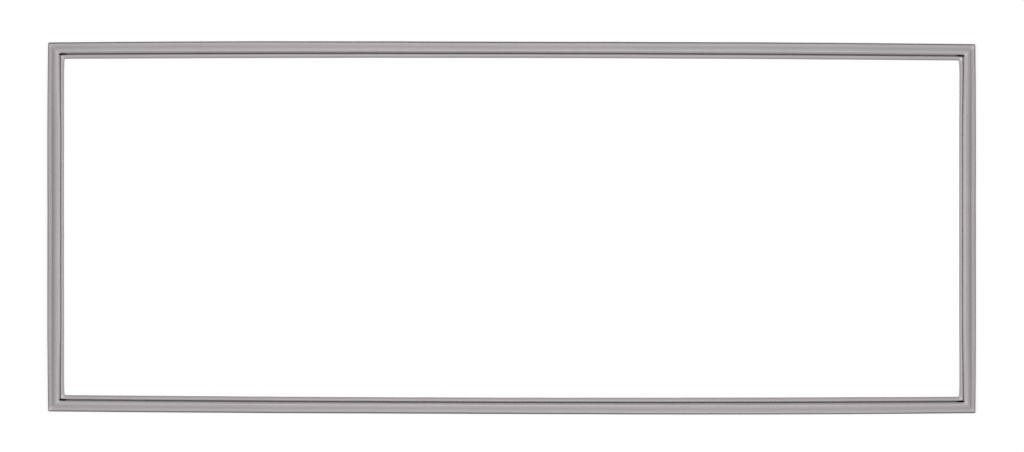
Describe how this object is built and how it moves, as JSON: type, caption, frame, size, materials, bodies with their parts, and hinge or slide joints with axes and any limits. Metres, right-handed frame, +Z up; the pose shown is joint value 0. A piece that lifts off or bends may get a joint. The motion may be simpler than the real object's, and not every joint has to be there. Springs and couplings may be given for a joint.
{
  "type": "refrigerator door gasket",
  "caption": "Rectangular push-in door gasket for an upright refrigerator: hollow grey vinyl bulb, bellows, inner lip and barbed dart, with magnet strips inside.",
  "frame": {"origin": "middle of the frame, on the surface that the darts' tips lie on", "axes": "+X along the long sides, +Y along the short sides, +Z up through the sealing face, away from the dart"},
  "size_m": [1.5636, 0.6278, 0.023],
  "materials": {
    "vinyl": "satin",
    "magnet_rubber": "matte"
  },
  "bodies": {
    "root": {"gasket_frame": "vinyl", "magnet_strip_hinge_side": "magnet_rubber", "magnet_strip_top": "magnet_rubber", "magnet_strip_handle_side": "magnet_rubber", "magnet_strip_bottom": "magnet_rubber"}
  },
  "joints": []
}
